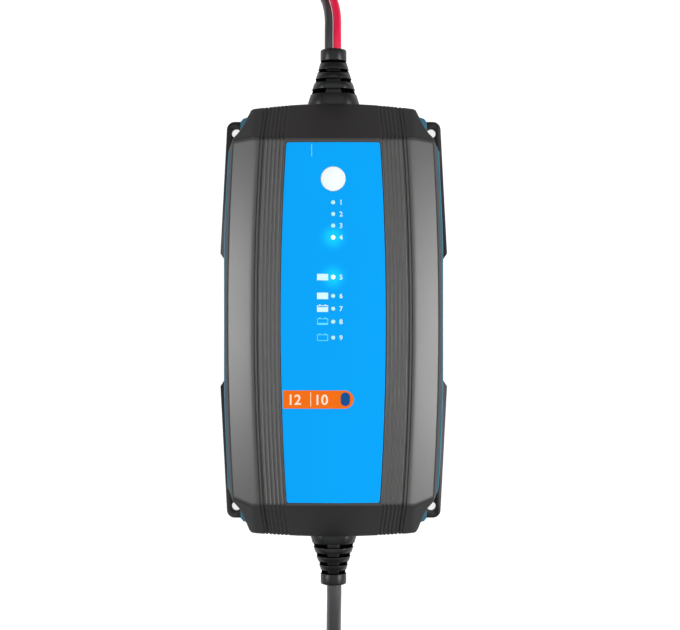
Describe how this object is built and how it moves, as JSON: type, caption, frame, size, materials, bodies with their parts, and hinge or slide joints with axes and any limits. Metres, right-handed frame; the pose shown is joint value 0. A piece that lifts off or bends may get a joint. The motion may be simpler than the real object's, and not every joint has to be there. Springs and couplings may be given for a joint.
{
  "type": "car battery charger",
  "caption": "Sealed mains battery charger: barrel-shaped ribbed casing with corner mounting ears, push button, lamps, mains plug lead and red and black clamp leads.",
  "frame": {"origin": "on the floor plane, under the middle of the casing, which lies on its back", "axes": "+Z out of the front face, +Y towards the battery lead, +X to the right seen from the front"},
  "size_m": [0.1046, 0.6199, 0.06],
  "materials": {
    "black_abs": "fine moulded texture",
    "teal_silicone": "satin silicone",
    "graphite_abs": "satin moulded, soft sheen",
    "blue_label": "printed polycarbonate film",
    "screw_steel": "zinc plated",
    "white_key": "smooth",
    "clear_guide": "clear, polished",
    "board_laminate": "solder mask",
    "lamp_chip": "clear resin",
    "switch_plastic": "moulded epoxy",
    "switch_stem": "moulded",
    "flat_cable": "ribbon",
    "fuse_glass": "glazed tube with metal caps",
    "ferrite": "sintered ferrite",
    "winding_copper": "enamelled copper wire",
    "film_capacitor_yellow": "moulded box",
    "capacitor_sleeve": "shrink sleeve",
    "heatsink_aluminium": "extruded",
    "module_can": "tinned can",
    "terminal_green": "moulded",
    "wire_black": "soft vinyl",
    "wire_red": "soft vinyl",
    "tie_black": "moulded strap",
    "clamp_black": "moulded",
    "clamp_red": "moulded",
    "pin_steel": "nickel plated",
    "spring_steel": "spring wire",
    "contact_copper": "copper plated steel",
    "cable_grey": "smooth vinyl sheath",
    "plug_black": "moulded",
    "earth_brass": "plated brass"
  },
  "bodies": {
    "housing": {"back_shell": "black_abs", "seal_ring": "teal_silicone", "top_cover": "graphite_abs", "front_label": "blue_label", "cover_screws": "screw_steel", "light_guides": "clear_guide", "display_board": "board_laminate", "status_lamps": "lamp_chip", "switch_body": "switch_plastic", "display_cable": "flat_cable", "main_board": "board_laminate", "board_screws": "screw_steel", "mains_fuse": "fuse_glass", "line_choke_core": "ferrite", "line_choke_winding": "winding_copper", "filter_capacitor": "film_capacitor_yellow", "bridge_rectifier": "switch_plastic", "bulk_capacitor": "capacitor_sleeve", "switching_transistor": "switch_plastic", "primary_heatsink": "heatsink_aluminium", "transformer_core": "ferrite", "transformer_winding": "winding_copper", "output_diodes": "switch_plastic", "output_heatsink": "heatsink_aluminium", "output_choke_core": "ferrite", "output_choke_winding": "winding_copper", "output_capacitors": "capacitor_sleeve", "radio_module": "module_can", "lead_terminals": "terminal_green", "dc_strain_relief": "black_abs", "mains_strain_relief": "black_abs", "dc_lead_black": "wire_black", "dc_lead_red": "wire_red", "dc_coil_black": "wire_black", "dc_coil_red": "wire_red", "dc_coil_tie": "tie_black", "clamp_lead_black": "wire_black", "clamp_lead_red": "wire_red", "black_clamp_body": "clamp_black", "black_clamp_pin": "pin_steel", "black_clamp_spring": "spring_steel", "black_body_contact": "contact_copper", "red_clamp_body": "clamp_red", "red_clamp_pin": "pin_steel", "red_clamp_spring": "spring_steel", "red_body_contact": "contact_copper", "mains_lead": "cable_grey", "mains_coil": "cable_grey", "mains_coil_tie": "tie_black", "plug_lead": "cable_grey", "plug_body": "plug_black", "plug_pins": "pin_steel", "plug_earth_contacts": "earth_brass"},
    "black_lever": {"black_clamp_lever": "clamp_black", "black_lever_contact": "contact_copper"},
    "red_lever": {"red_clamp_lever": "clamp_red", "red_lever_contact": "contact_copper"},
    "mode_key": {"mode_button": "white_key", "switch_plunger": "switch_stem"}
  },
  "joints": [
    {"name": "mode_button_press", "type": "slide", "parent": "housing", "child": "mode_key", "axis": [0, 0, -1], "range_m": [0, 0.0005], "stiffness_N_per_m": 1500, "springref_m": -0.0006},
    {"name": "black_clamp_jaw", "type": "hinge", "parent": "housing", "child": "black_lever", "pos_m": [-0.025, 0.304, 0.009], "axis": [0, 0, -1], "range_deg": [0, 30], "stiffness_Nm_per_rad": 0.35, "springref_deg": -28.65},
    {"name": "red_clamp_jaw", "type": "hinge", "parent": "housing", "child": "red_lever", "pos_m": [0.025, 0.304, 0.009], "axis": [0, 0, -1], "range_deg": [0, 30], "stiffness_Nm_per_rad": 0.35, "springref_deg": -28.65}
  ]
}
